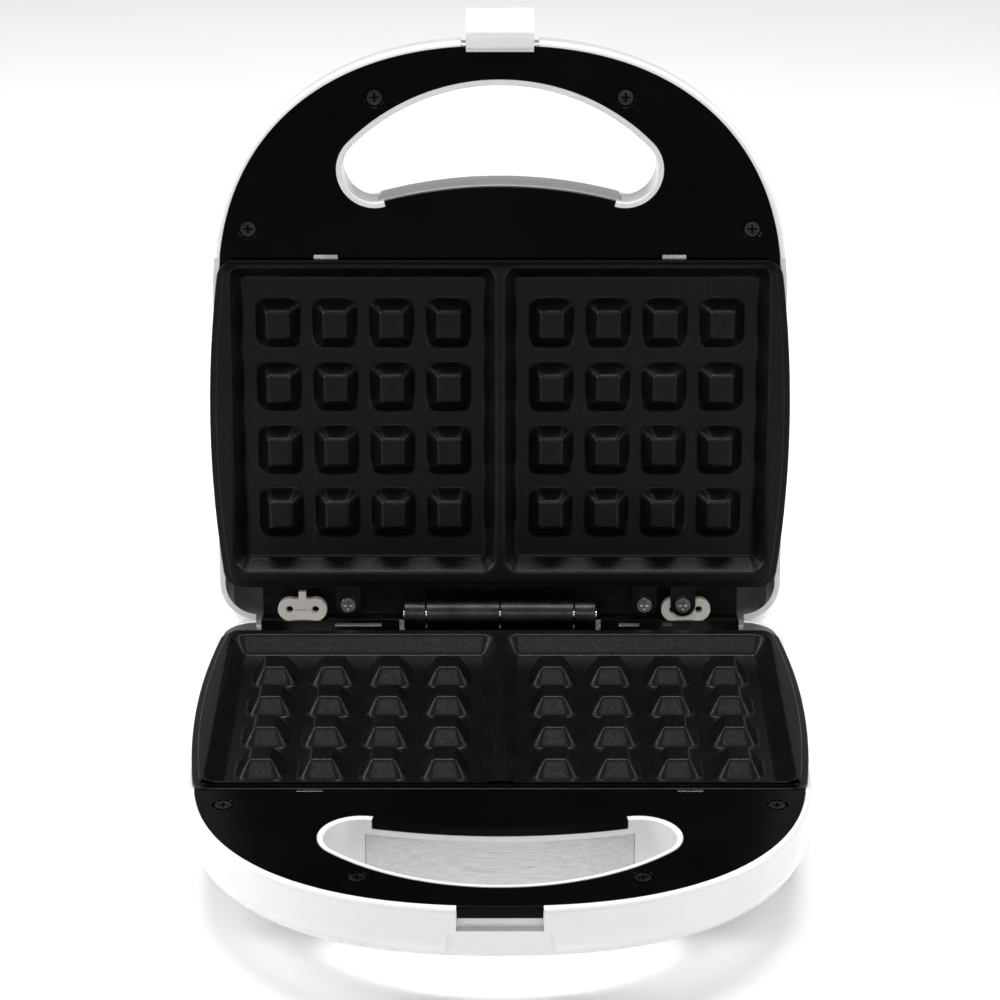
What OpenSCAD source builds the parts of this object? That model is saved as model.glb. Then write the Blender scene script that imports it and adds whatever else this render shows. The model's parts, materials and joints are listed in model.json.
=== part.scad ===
// Two-slice waffle maker, millimetres. X is the width, Y runs from the front (-Y) to the hinge (+Y), Z is up.
// The origin is on the table, under the middle of the opened machine.
// Both halves are drawn closed in a hinge frame: hinge axis on X, base below it, lid above it.

/* [Casings] */
// Width of both casings at the baking plates
case_w = 238; // [225:1:290]
// Distance from the hinge axis to the front of the casings
case_l = 243; // [230:1:295]
// Length of the rounded front
front_run = 108.3; // [95:0.1:115]
// Roundness of the front: 2 is an ellipse, more is squarer
front_power = 2.33; // [2:0.01:3]
// Depth of each half from the hinge axis to its outer face
half_h = 43; // [38:1:56]
// Depth of the handle part from the hinge axis to its outer face
handle_h = 24; // [20:0.5:28]
// Wall of the casings
wall = 2.3; // [1.8:0.1:3]
// How far the back bulges out behind the hinge axis
rear_reach = 16.5; // [14:0.5:18]
// Radius of the rear corners, seen from above
rear_corner = 16; // [12:1:22]

/* [Handle opening] */
// Width of the bar in front of the opening
grip_bar = 18.5; // [17:0.1:24]
// Depth of the opening, front to back
grip_depth = 41.6; // [36:0.1:44]
// Radius of the back edge
grip_back_r = 196; // [180:1:220]
// Half distance between the centres of the round ends
grip_half = 51.5; // [46:0.5:54]
// Radius of the round ends
grip_end_r = 13.4; // [11:0.1:14]

/* [Trim] */
// Thickness of the trim covers
trim_t = 2; // [1.5:0.1:3]
// How far the trim lies under the parting plane
trim_drop = 1.6; // [1.2:0.1:2.2]
// Depth of the catch lip at the front of the base trim
lip_h = 4.7; // [4:0.1:5.5]
// Height of the trim's flange at the back of the handle opening
flange_h = 3.8; // [3:0.1:4.5]

/* [Baking plates] */
// How far the plates stick out past each side of the casings
overhang = 2.4; // [1:0.1:4]
// Radius of the bowed sides of the plates
plate_side_r = 482; // [380:1:700]
// Distance from the hinge axis to the back edge of the plates
plate_back = 11.7; // [10:0.1:14]
// Length of the handle part, from the plates to the front of the casings
handle_l = 90.5; // [85:0.5:96]
// Corner radius of the plates
plate_corner = 8; // [5:0.5:12]
// Thickness under the waffle moulds
plate_floor = 3.2; // [2.5:0.1:4]
// Depth of the waffle moulds
mould_depth = 7.5; // [6:0.5:9]
// Distance from the plate's side to the mould
rim_w = 9.1; // [8.5:0.1:12]
// Distance from the plate's back edge to the mould
rim_back = 7; // [6:0.1:9]
// Width of the ridge between the two moulds
ridge_w = 3.2; // [2.6:0.1:6]
// Run of the sloping mould walls
mould_draft = 5.2; // [4:0.1:6]
// Pyramids along each side of a mould
pyramids = 4; // [3:1:5]
// Width of a pyramid's top
tip_w = 8.9; // [7:0.1:10]
// Length of a pyramid's top
tip_l = 11; // [9:0.1:12]
// Run of a pyramid's sides
tip_draft = 4.8; // [3:0.1:5]

/* [Hinge] */
// Lid angle from closed when it rests open
open_angle = 98; // [90:1:100]
// Radius of the hinge barrels
barrel_r = 6.5; // [5.5:0.1:7]
// Radius of the hinge pin
pin_r = 2.5; // [2:0.1:3]
// Running clearance of the hinge pin
pin_gap = 0.05; // [0.02:0.01:0.1]
// Outer ends of the lid's barrels
barrel_half = 31; // [28:0.5:36]
// Width of the base's lugs
lug_w = 8.9; // [6:0.1:12]

/* [Latch] */
// Width of the latch
latch_w = 27.3; // [24:0.1:30]
// Radius of the latch pin
latch_pin_r = 1.2; // [1:0.1:1.5]

/* [Feet and inlet] */
// Height of the rubber feet under the casing
foot_h = 3; // [2:0.5:6]
// Radius of the rubber feet
foot_r = 8; // [6:0.5:10]
// Radius of the bore for the mains lead
inlet_r = 3.6; // [3:0.1:4.5]

/* [Hidden] */

tiny = 0.01;
fit_gap = 0.2;
screw_r = 1.45;
screw_gap = 0.05;
head_r = 3.1;

// Casing outline
half_w = case_w / 2;
front_start = case_l - front_run;
plate_front = case_l - handle_l;
body_set = 0.4;
trim_inset = wall + fit_gap;
rear_rise = 32;
side_drop = 3.8;
rear_drop = 9;
rear_open_half = half_w - rear_corner + 1;
rim_drop = 1.2;
edge_r = 2.2;
handle_round_x = 8;
handle_round_z = 9;
body_round = 8;
body_inset = 2;
body_corner = 16;
floor_in = half_h - wall;
step_v = plate_front + 0.7;

// Handle opening
grip_front = case_l - grip_bar;
grip_back = grip_front - grip_depth;
grip_centre = grip_back - grip_back_r;
grip_end_v = grip_centre + sqrt(pow(grip_back_r + grip_end_r, 2) - pow(grip_half, 2));
grip_rise = grip_front - grip_end_v;
grip_front_r = (pow(grip_half, 2) + pow(grip_rise, 2) - pow(grip_end_r, 2)) / (2 * (grip_rise - grip_end_r));
inlay_half = 50;
inlay_t = 0.8;
inlay_top = trim_drop + trim_t + 4.4;
inlay_end = half_h - body_round - 1;
flange_half = 47.5;
flange_t = 1.4;

// Plates
plate_w = case_w + 2 * overhang;
plate_gap = 0.15;
tier_step = 2.6;
tier_drop = trim_drop + 0.2;
skirt_t = 1.8;
plate_under = mould_depth + plate_floor + plate_gap;
mould_half = plate_w / 2 - rim_w;
mould_back = plate_back + rim_back;
mould_front = plate_front - 2.5;
mould_corner = 6.5;
tub_margin = 1.2;
margin_u = 5.4;
margin_v = 9.35;
floor_w = mould_half - ridge_w / 2 - 2 * mould_draft;
floor_l = mould_front - mould_back - 2 * mould_draft;
pitch_u = (floor_w - tip_w - 2 * tip_draft - 2 * margin_u) / max(1, pyramids - 1);
pitch_v = (floor_l - tip_l - 2 * tip_draft - 2 * margin_v) / max(1, pyramids - 1);
tip_drop = 0.5;

// Screws that hold the trims, and the long ones that hold the plates
trim_screws = [[half_w - 15.2, step_v + 12.2], [grip_half - 0.3, case_l - 23.5]];
trim_boss_r = 3.6;
ring_r = 4;
plate_screws = [[half_w - 69, mould_back + 26.3], [half_w - 69, plate_front - 30]];
plate_boss_r = 4.5;
sink_h = 3;

// Heating element, heat shield and what hangs on them
heater_r = 3.2;
heater_u = plate_w / 2 - 39.4;
heater_back = mould_back + 5.3;
heater_front = plate_front - 20;
heater_bend = 20;
heater_pin_l = 8;
heater_drop = plate_under + heater_r + 0.3;
shield_t = 0.8;
shield_drop = heater_drop + heater_r + 0.6;
shield_half = half_w - wall - 5;
shield_back = -5.2;
tab_half = 2;
shield_lip = 6;
shield_rear_half = rear_open_half - 2;
rear_lip_drop = 10;
lip_slots = [[-70, 20], [50, 9], [68, 5]];
lip_slot_h = 2;
insulator_t = 4;
insulator_r = 5;
insulator_pitch = 11;
insulator_hole_r = 1.5;
insulator_stem_w = 3.2;
insulator_stem_l = 3;
insulator_waist = 0.4;
upper_insulator_u = [-84.2, 79.2];
lower_insulator_u = [-80, 80];
upper_insulator_drop = 4.5;
lower_insulator_drop = 12;
insulator_v = 1;
clip_u = 72;
clip_w = 10;
clip_t = 1.4;
bracket_u = [-64.5, 61.4, 77.8];
bracket_r = 5.3;
bracket_t = 1.2;
bracket_drop = 2.2;
bracket_end = 4;
bracket_screw_l = 2;

// Hinge
hinge_z = half_h + foot_h;
panel_t = 0.8;
rear_open = (half_h + panel_t) * sin(open_angle) - (grip_back - body_round) * cos(open_angle);
hinge_y = (case_l - rear_open) / 2;
lug_in = barrel_half + 0.6;
lug_out = lug_in + lug_w;
barrel_split = 0.3;
web_back = 2;
web_end = barrel_half - 14;
foot_plate_t = 2.5;
bracket_screw_u = 22;
bracket_screw_v = 4;

// Latch
notch_half = latch_w / 2 + 2.3;
pocket_half = notch_half - 0.5;
cheek_t = 2.6;
pin_hole_skin = 0.6;
latch_v = case_l - 3.2;
latch_h = 9;
latch_ear_r = 2.6;
lid_pocket_v = case_l - 6.5;
base_pocket_v = case_l - 5;
pocket_end = 11.5;
pocket_floor = 19;
thumb_top_half = pocket_half + 3;
thumb_low_half = pocket_half + 5;
thumb_depth = 2.3;
latch_face_v = case_l - trim_inset + 0.9;
latch_end = 14;
latch_top = 17.5;
lid_pocket_end = 20.5;
latch_out = 13;
latch_mid = 4;
latch_span = 19;
hook_run = 2.3;
hook_top = trim_drop + lip_h + 0.5;
spring_half = 4;
spring_r = 2.2;
spring_wire_r = 0.4;
spring_turns = 6;
spring_room = 1.3;

// Feet, inlet and lamps
foot_u = half_w - 34;
foot_set = 28.4;
foot_front_v = grip_centre + sqrt(pow(grip_back_r - foot_set, 2) - pow(foot_u, 2));
foot_v = [mould_back + 4.3, foot_front_v];
spigot_r = 4;
spigot_lip = 1.2;
inlet_u = half_w - 44;
inlet_drop = 28;
gland_r = 6.5;
gland_flange_r = 8.5;
gland_flange_t = 2.5;
gland_l = 15;
gland_seat_t = 5;
block_u = inlet_u - 8;
block_v = mould_back + 8.3;
block_half = 10;
block_l = 14;
block_h = 11;
block_pitch = 8;
lead_z = block_h / 2 - floor_in;
lead_hole_r = 2.4;
lead_hole_v = heater_back - 11;
lamp_u = 14;
lamp_v = grip_back - 18.4;
lens_r = 3.2;
lens_rise = 1.4;
lamp_r = 2.3;
lamp_l = 12;
lead_r = 1.1;
lead_bend = 9;

// Thermostat and thermal fuse under the middle of the lower plate
thermostat_v = heater_front - 45;
thermostat_r = 7;
sensor_r = 5.5;
sensor_h = 1.5;
fuse_v = thermostat_v - 20;
fuse_r = 2;
fuse_l = 14;

// ---------- outlines ----------

function arc(x, y, r, from, to, steps) = [
    for (i = [0 : steps])
        let (a = from + (to - from) * i / steps)
        [x + r * cos(a), y + r * sin(a)]
];

function power(c) = sign(c) * pow(abs(c), 2 / front_power);

// Rounded front, straight sides and round rear corners; grow moves the whole outline outwards
function case_outline(grow, rear) = concat(
    [for (i = [0 : 40])
        let (t = 180 + 180 * i / 40)
        [(half_w + grow) * power(cos(t)), -front_start + (front_run + grow) * power(sin(t))]],
    arc(half_w - rear_corner, rear - rear_corner, rear_corner + grow, 0, 90, 8),
    arc(rear_corner - half_w, rear - rear_corner, rear_corner + grow, 90, 180, 8)
);

// Outline of the deep part behind the handle opening
function body_outline(grow, rear) =
    let (
        side = half_w - body_inset,
        front_r = grip_back_r - body_set,
        x = side - body_corner,
        y = -grip_centre - sqrt(pow(front_r - body_corner, 2) - pow(x, 2)),
        turn = atan2(-(y + grip_centre), x)
    )
    concat(
        arc(-x, y, body_corner + grow, 180, 180 + turn, 5),
        arc(0, -grip_centre, front_r + grow, 180 + turn, 360 - turn, 24),
        arc(x, y, body_corner + grow, 360 - turn, 360, 5),
        arc(side - rear_corner, rear - rear_corner, rear_corner + grow, 0, 90, 8),
        arc(rear_corner - side, rear - rear_corner, rear_corner + grow, 90, 180, 8)
    );

// Kidney-shaped handle opening
function grip_outline(grow) =
    let (
        lean = atan2(grip_half, grip_end_v - grip_centre),
        front_centre = grip_front - grip_front_r,
        front_lean = atan2(grip_half, grip_end_v - front_centre)
    )
    concat(
        arc(-grip_half, -grip_end_v, grip_end_r + grow, 90 - lean, 270 - front_lean, 14),
        arc(0, -front_centre, grip_front_r + grow, 270 - front_lean, 270 + front_lean, 24),
        arc(grip_half, -grip_end_v, grip_end_r + grow, 270 + front_lean, 450 + lean, 14),
        arc(0, -grip_centre, grip_back_r - grow, 270 + lean, 270 - lean, 20)
    );

// Plate with bowed sides and round corners
function plate_outline(grow) =
    let (
        mid = (plate_back + plate_front) / 2,
        run = (plate_front - plate_back) / 2 - plate_corner,
        cx = plate_w / 2 - plate_side_r,
        x = cx + sqrt(pow(plate_side_r - plate_corner, 2) - pow(run, 2)),
        turn = atan2(run, x - cx),
        r = plate_corner + grow,
        side = plate_side_r + grow
    )
    concat(
        arc(-x, -mid - run, r, 180 + turn, 270, 6),
        arc(x, -mid - run, r, 270, 360 - turn, 6),
        arc(cx, -mid, side, -turn, turn, 10),
        arc(x, -mid + run, r, turn, 90, 6),
        arc(-x, -mid + run, r, 90, 180 - turn, 6),
        arc(-cx, -mid, side, 180 - turn, 180 + turn, 10)
    );

// How far the back wall stands behind the hinge axis at a depth under the parting plane
function rear_at(depth) = rear_reach * sin(90 * min(1, depth / rear_rise));

// Depths and insets along a rounded edge, from the outer face inwards
function rounded(depth, run_x, run_z, steps) = [
    for (i = [0 : steps])
        let (a = 90 * i / steps)
        [depth - run_z * (1 - cos(a)), -run_x * (1 - sin(a))]
];

// ---------- helpers ----------

// Solid skinned over rings of equal length, the lowest ring first
module skin(rings) {
    n = len(rings[0]);
    last = len(rings) - 1;
    points = [for (ring = rings) each ring];
    sides = [
        for (r = [0 : last - 1])
            for (i = [0 : n - 1])
                let (j = (i + 1) % n)
                [r * n + i, (r + 1) * n + i, (r + 1) * n + j, r * n + j]
    ];
    bottom = [for (i = [0 : n - 1]) i];
    top = [for (i = [0 : n - 1]) last * n + n - 1 - i];
    polyhedron(points, concat(sides, [bottom], [top]), convexity = 6);
}

function lift(outline, z) = [for (p = outline) [p[0], p[1], z]];

module at_hinge() {
    translate([0, hinge_y, hinge_z]) children();
}

module opened() {
    at_hinge() rotate([-open_angle, 0, 0]) children();
}

// Turns something drawn for the base half into its lid counterpart
module as_lid() {
    mirror([0, 0, 1]) children();
}

// A block between two corners given as distance right, distance in front of the hinge axis, and height
module block(u, v, h) {
    translate([u[0], -v[1], h[0]]) cube([u[1] - u[0], v[1] - v[0], h[1] - h[0]]);
}

module post(u, v, r, h) {
    translate([u, -v, h[0]]) cylinder(r = r, h = h[1] - h[0], $fn = 48);
}

module rod_x(v, h, r, from, to) {
    translate([from, -v, h]) rotate([0, 90, 0]) cylinder(r = r, h = to - from, $fn = 48);
}

module pan_screw(r, head, head_t, length) {
    translate([0, 0, -length]) cylinder(r = r, h = length, $fn = 24);
    difference() {
        cylinder(r = head, h = head_t, $fn = 40);
        for (turn = [0, 90])
            rotate([0, 0, turn])
                translate([-head * 0.6, -0.45, head_t - 0.9]) cube([head * 1.2, 0.9, 1]);
    }
}

// ---------- casings, drawn for the base ----------

module handle_skin(grow, depth) {
    low = rounded(depth, handle_round_x, handle_round_z, 6);
    high = [[rim_drop + edge_r, 0], [rim_drop + 0.6 * edge_r, -0.2 * edge_r], [rim_drop, -0.9 * edge_r]];
    profile = concat(low, grow < 0 ? [[0, 0]] : high);
    skin([for (p = profile) lift(case_outline(p[1] + grow, rear_at(p[0])), -p[0])]);
}

module body_skin(grow, depth) {
    low = rounded(depth, body_round, body_round, 5);
    middle = [for (d = [depth - body_round - 7 : -7 : 13]) [d, 0]];
    profile = concat(low, middle, [[rim_drop + 4, 0]]);
    skin([for (p = profile) lift(body_outline(p[1] + grow, rear_at(p[0])), -p[0])]);
}

// Strip along the back of the handle opening, between two distances from its edge
module grip_band(half, near, far, low, high) {
    intersection() {
        translate([0, 0, low]) linear_extrude(high - low) difference() {
            polygon(grip_outline(far));
            polygon(grip_outline(near));
        }
        block([-half, half], [grip_back - grip_end_r, grip_back + 1], [low, high]);
    }
}

module casing() {
    difference() {
        union() {
            difference() {
                union() {
                    handle_skin(0, handle_h);
                    body_skin(0, half_h);
                }
                difference() {
                    handle_skin(-wall, handle_h - wall);
                    translate([0, 0, -handle_h])
                        linear_extrude(handle_h - trim_drop) polygon(grip_outline(wall));
                }
                body_skin(-wall, floor_in);
                block([-half_w - 1, half_w + 1], [-rear_reach - 1, step_v], [-side_drop, 1]);
                block([-rear_open_half, rear_open_half], [-rear_reach - 1, plate_back], [-rear_drop, 1]);
            }
            for (side = [-1, 1]) {
                for (s = trim_screws)
                    post(side * s[0], s[1], trim_boss_r, [-handle_h + wall, -trim_drop - trim_t]);
                for (s = plate_screws)
                    post(side * s[0], s[1], plate_boss_r, [-floor_in, -shield_drop - shield_t]);
                post(side * bracket_screw_u, bracket_screw_v, trim_boss_r,
                    [-floor_in, -shield_drop - shield_t]);
            }
            children();
        }
        translate([0, 0, -half_h - 1])
            linear_extrude(half_h + 2) polygon(grip_outline(0));
        grip_band(flange_half + fit_gap, -1, trim_inset, -trim_drop - flange_h - plate_gap, 1);
        for (side = [-1, 1]) {
            for (s = trim_screws)
                post(side * s[0], s[1], screw_r + screw_gap, [-handle_h + wall, 0]);
            for (s = plate_screws) {
                post(side * s[0], s[1], screw_r + 0.3, [-half_h - 1, 0]);
                post(side * s[0], s[1], head_r + 0.5, [-half_h - 1, -half_h + sink_h]);
            }
            post(side * bracket_screw_u, bracket_screw_v, screw_r + screw_gap, [-floor_in, 0]);
        }
    }
}

module inlay_ring(gap) {
    inner = grip_back_r - inlay_t - gap;
    translate([0, -grip_centre, 0]) intersection() {
        difference() {
            translate([0, 0, -inlay_end])
                cylinder(r = grip_back_r + tiny, h = inlay_end - inlay_top, $fn = 360);
            translate([0, 0, -half_h]) cylinder(r = inner, h = half_h, $fn = 360);
        }
        translate([-inlay_half - gap, -grip_back_r - 1, -half_h])
            cube([2 * (inlay_half + gap), grip_back_r, half_h]);
    }
}

module grip_inlay() {
    inner = grip_back_r - inlay_t;
    translate([0, -grip_centre, 0]) intersection() {
        difference() {
            translate([0, 0, -inlay_end])
                cylinder(r = grip_back_r - fit_gap / 2, h = inlay_end - inlay_top, $fn = 360);
            translate([0, 0, -half_h]) cylinder(r = inner, h = half_h, $fn = 360);
        }
        translate([-inlay_half, -grip_back_r - 1, -half_h]) cube([2 * inlay_half, grip_back_r, half_h]);
    }
}

module base_casing() {
    color("white") at_hinge() difference() {
        union() {
            casing() translate([inlet_u, rear_reach - gland_seat_t, -inlet_drop])
                rotate([-90, 0, 0]) cylinder(r = gland_flange_r + 1, h = gland_seat_t, $fn = 48);
            block([-thumb_low_half - 2, thumb_low_half + 2], [base_pocket_v - wall, case_l - wall + fit_gap],
                [-pocket_floor, -trim_drop - trim_t]);
        }
        block([-pocket_half, pocket_half], [base_pocket_v, case_l + 1], [-pocket_end, 1]);
        translate([0, thumb_depth - case_l, 0]) rotate([90, 0, 0]) linear_extrude(thumb_depth + 1)
            polygon([[-thumb_top_half, -pocket_end], [-thumb_low_half, -handle_h - 1],
                [thumb_low_half, -handle_h - 1], [thumb_top_half, -pocket_end]]);
        inlay_ring(fit_gap / 2);
        for (side = [-1, 1])
            for (v = foot_v)
                post(side * foot_u, v, spigot_r + tiny, [-half_h - 1, 1 - floor_in]);
        translate([inlet_u, 0, -inlet_drop]) rotate([-90, 0, 0])
            cylinder(r = gland_r + screw_gap, h = half_h, $fn = 48);
    }
}

module lid_casing() {
    color("white") opened() as_lid() difference() {
        union() {
            casing();
            block([-notch_half - cheek_t, notch_half + cheek_t],
                [lid_pocket_v - wall, case_l - wall + fit_gap],
                [-handle_h + wall, -trim_drop - trim_t]);
        }
        block([-notch_half, notch_half], [lid_pocket_v, case_l + 1], [-lid_pocket_end, 1]);
        rod_x(latch_v, -latch_h, latch_pin_r + screw_gap,
            pin_hole_skin - notch_half - cheek_t, notch_half + cheek_t - pin_hole_skin);
        inlay_ring(fit_gap / 2);
        for (side = [-1, 1])
            post(side * lamp_u, lamp_v, lens_r + fit_gap / 2, [-half_h - 1, 1 - floor_in]);
    }
}

// ---------- trims ----------

module trim(with_lip) {
    difference() {
        union() {
            translate([0, 0, -trim_drop - trim_t])
                linear_extrude(trim_t) polygon(case_outline(-trim_inset, 0));
            if (with_lip)
                block([fit_gap - pocket_half, pocket_half - fit_gap],
                    [base_pocket_v + 1, case_l - trim_inset],
                    [-trim_drop - lip_h, -trim_drop - trim_t / 2]);
        }
        block([-half_w, half_w], [-rear_reach, step_v + fit_gap], [-half_h, 1]);
        translate([0, 0, -half_h]) linear_extrude(half_h + 1) polygon(grip_outline(trim_inset));
        for (side = [-1, 1]) {
            block([side * clip_u - clip_w / 2 - fit_gap, side * clip_u + clip_w / 2 + fit_gap],
                [step_v, step_v + fit_gap + clip_t + 0.4], [-half_h, 1]);
            for (s = trim_screws) {
                post(side * s[0], s[1], screw_r + 0.25, [-half_h, 1]);
                post(side * s[0], s[1], ring_r, [-trim_drop - trim_t / 2, 1]);
            }
        }
    }
    grip_band(flange_half, 0, trim_inset + 1, -trim_drop - trim_t, -trim_drop);
    grip_band(flange_half, 0, flange_t, -trim_drop - flange_h, -trim_drop);
}

module trim_screw_set() {
    for (side = [-1, 1])
        for (s = trim_screws)
            translate([side * s[0], -s[1], -trim_drop - trim_t / 2])
                pan_screw(screw_r, head_r, trim_t / 2 - 0.1, trim_boss_r * 3);
}

module base_trim() {
    color("black") at_hinge() trim(true);
}

module lid_trim() {
    color("black") opened() as_lid() trim(false);
}

module base_trim_screws() {
    color("dimgray") at_hinge() trim_screw_set();
}

module lid_trim_screws() {
    color("dimgray") opened() as_lid() trim_screw_set();
}

module base_grip_inlay() {
    color("silver") at_hinge() grip_inlay();
}

module lid_grip_inlay() {
    color("silver") opened() as_lid() grip_inlay();
}

module lid_panel() {
    color("silver") opened() translate([0, 0, half_h]) difference() {
        linear_extrude(panel_t) polygon(body_outline(-body_round - 1, rear_reach));
        for (side = [-1, 1])
            post(side * lamp_u, lamp_v, lens_r + fit_gap / 2, [-1, panel_t + 1]);
    }
}

// ---------- baking plates, drawn for the base ----------

function rounded_box(u, v, grow, r) =
    let (x0 = u[0] - grow, x1 = u[1] + grow, y0 = -v[1] - grow, y1 = -v[0] + grow)
    concat(
        arc(x0 + r, y0 + r, r, 180, 270, 4),
        arc(x1 - r, y0 + r, r, 270, 360, 4),
        arc(x1 - r, y1 - r, r, 0, 90, 4),
        arc(x0 + r, y1 - r, r, 90, 180, 4)
    );

module mould() {
    u = [ridge_w / 2, mould_half];
    v = [mould_back, mould_front];
    lean = mould_draft / mould_depth;
    skin([
        lift(rounded_box(u, v, -mould_draft, mould_corner - mould_draft / 2), -mould_depth - plate_gap),
        lift(rounded_box(u, v, lean, mould_corner), 1 - plate_gap)
    ]);
}

module pyramid() {
    foot = [tip_w / 2 + tip_draft, tip_l / 2 + tip_draft];
    tip = [tip_w / 2, tip_l / 2];
    low = -mould_depth - plate_gap - 0.5;
    grow = 0.5 * tip_draft / (mould_depth - tip_drop);
    corners = [[-1, -1], [1, -1], [1, 1], [-1, 1]];
    skin([
        [for (c = corners) [c[0] * (foot[0] + grow), c[1] * (foot[1] + grow), low]],
        [for (c = corners) [c[0] * tip[0], c[1] * tip[1], -plate_gap - tip_drop]]
    ]);
}

module plate() {
    first_u = ridge_w / 2 + mould_draft + margin_u + tip_draft + tip_w / 2;
    first_v = mould_back + mould_draft + margin_v + tip_draft + tip_l / 2;
    difference() {
        union() {
            translate([0, 0, -tier_drop])
                linear_extrude(tier_drop - plate_gap) polygon(plate_outline(-tier_step));
            translate([0, 0, -tier_drop - skirt_t]) linear_extrude(skirt_t) polygon(plate_outline(0));
            block([-mould_half - tub_margin, mould_half + tub_margin],
                [mould_back - tub_margin, mould_front - tub_margin / 2],
                [-plate_under, -tier_drop - skirt_t]);
            for (side = [-1, 1])
                for (s = plate_screws)
                    post(side * s[0], s[1], plate_boss_r, [-shield_drop, -plate_under]);
        }
        for (side = [0, 1]) mirror([side, 0, 0]) mould();
        for (side = [-1, 1])
            for (s = plate_screws)
                post(side * s[0], s[1], screw_r + screw_gap, [-shield_drop - 1, -plate_under]);
    }
    for (side = [-1, 1])
        for (i = [0 : pyramids - 1])
            for (j = [0 : pyramids - 1])
                translate([side * (first_u + i * pitch_u), -first_v - j * pitch_v, 0]) pyramid();
}

module lower_plate() {
    color("#1c1c1e") at_hinge() plate();
}

module upper_plate() {
    color("#1c1c1e") opened() as_lid() plate();
}

module plate_screw_set() {
    for (side = [-1, 1])
        for (s = plate_screws)
            translate([side * s[0], -s[1], -half_h + sink_h]) mirror([0, 0, 1])
                pan_screw(screw_r, head_r, sink_h - 1, half_h - sink_h - plate_under - 1);
}

module lower_plate_screws() {
    color("dimgray") at_hinge() plate_screw_set();
}

module upper_plate_screws() {
    color("dimgray") opened() as_lid() plate_screw_set();
}

module clip_set() {
    for (side = [-1, 1]) {
        u = [side * clip_u - clip_w / 2, side * clip_u + clip_w / 2];
        block(u, [step_v + 0.1, step_v + 0.1 + clip_t], [-plate_under, -trim_drop - 0.2]);
        block(u, [mould_front - tub_margin / 2, step_v + 0.1 + clip_t],
            [-tier_drop - skirt_t - clip_t, -tier_drop - skirt_t]);
    }
}

module lower_plate_clips() {
    color("silver") at_hinge() clip_set();
}

module upper_plate_clips() {
    color("silver") opened() as_lid() clip_set();
}

// ---------- heating elements and heat shields ----------

module heating_element() {
    bend_u = heater_u - heater_bend;
    bend_v = heater_front - heater_bend;
    translate([0, 0, -heater_drop]) {
        for (side = [-1, 1]) {
            translate([side * heater_u, -bend_v, 0]) rotate([-90, 0, 0])
                cylinder(r = heater_r, h = bend_v - heater_back, $fn = 32);
            translate([side * heater_u, -heater_back, 0]) rotate([-90, 0, 0])
                cylinder(r = heater_r / 3, h = heater_pin_l, $fn = 24);
        }
        translate([-bend_u, -bend_v, 0]) rotate([0, 0, 180])
            rotate_extrude(angle = 90, $fn = 64) translate([heater_bend, 0]) circle(r = heater_r, $fn = 32);
        translate([bend_u, -bend_v, 0]) rotate([0, 0, 270])
            rotate_extrude(angle = 90, $fn = 64) translate([heater_bend, 0]) circle(r = heater_r, $fn = 32);
        rod_x(heater_front, 0, heater_r, -bend_u, bend_u);
    }
}

module lower_heating_element() {
    color("gray") at_hinge() heating_element();
}

module upper_heating_element() {
    color("gray") opened() as_lid() heating_element();
}

module heat_shield(tab_u, tab_drop) {
    sheet = [-shield_drop - shield_t, -shield_drop];
    difference() {
        union() {
            block([-shield_half, shield_half], [plate_back, plate_front], sheet);
            block([-shield_rear_half, shield_rear_half], [shield_back, plate_back], sheet);
            block([-shield_rear_half, shield_rear_half], [shield_back, shield_back + shield_t],
                [-shield_drop, -rear_lip_drop]);
            for (side = [-1, 1])
                translate([side * (shield_half - shield_t / 2), 0, 0])
                    block([-shield_t / 2, shield_t / 2], [plate_back, plate_front],
                        [-shield_drop, -shield_drop + shield_lip]);
            block([-shield_half, shield_half], [plate_front - shield_t, plate_front],
                [-shield_drop, -shield_drop + shield_lip]);
            for (u = tab_u)
                block([u - tab_half, u + tab_half], [insulator_v - tab_half / 2, insulator_v],
                    [-shield_drop, -tab_drop - insulator_t]);
        }
        for (side = [-1, 1]) {
            for (s = plate_screws)
                post(side * s[0], s[1], screw_r + 0.3, [-half_h, 0]);
            post(side * bracket_screw_u, bracket_screw_v, screw_r + 0.3, [-half_h, 0]);
            post(side * heater_u, lead_hole_v, lead_hole_r, [-half_h, 0]);
        }
        for (slot = lip_slots)
            block([slot[0], slot[0] + slot[1]], [shield_back - 1, shield_back + 1],
                [-rear_lip_drop - lip_slot_h, 0]);
    }
}

module lower_heat_shield() {
    color("#303030") at_hinge() heat_shield(lower_insulator_u, lower_insulator_drop);
}

module upper_heat_shield() {
    color("#303030") opened() as_lid() heat_shield(upper_insulator_u, upper_insulator_drop);
}

module insulator_set(places, drop) {
    hole_u = insulator_pitch / 2;
    for (u = places)
        translate([u, -insulator_v, -drop - insulator_t]) difference() {
            union() {
                for (side = [-1, 1])
                    translate([side * hole_u, 0, 0]) cylinder(r = insulator_r, h = insulator_t, $fn = 48);
                translate([-hole_u, insulator_waist - insulator_r, 0])
                    cube([insulator_pitch, 2 * (insulator_r - insulator_waist), insulator_t]);
                translate([-insulator_stem_w / 2, -insulator_r - insulator_stem_l, 0])
                    cube([insulator_stem_w, insulator_r, insulator_t]);
            }
            for (side = [-1, 1])
                translate([side * hole_u, 0, -1])
                    cylinder(r = insulator_hole_r, h = insulator_t + 2, $fn = 32);
        }
}

module lower_insulators() {
    color("ivory") at_hinge() insulator_set(lower_insulator_u, lower_insulator_drop);
}

module upper_insulators() {
    color("ivory") opened() as_lid() insulator_set(upper_insulator_u, upper_insulator_drop);
}

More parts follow.
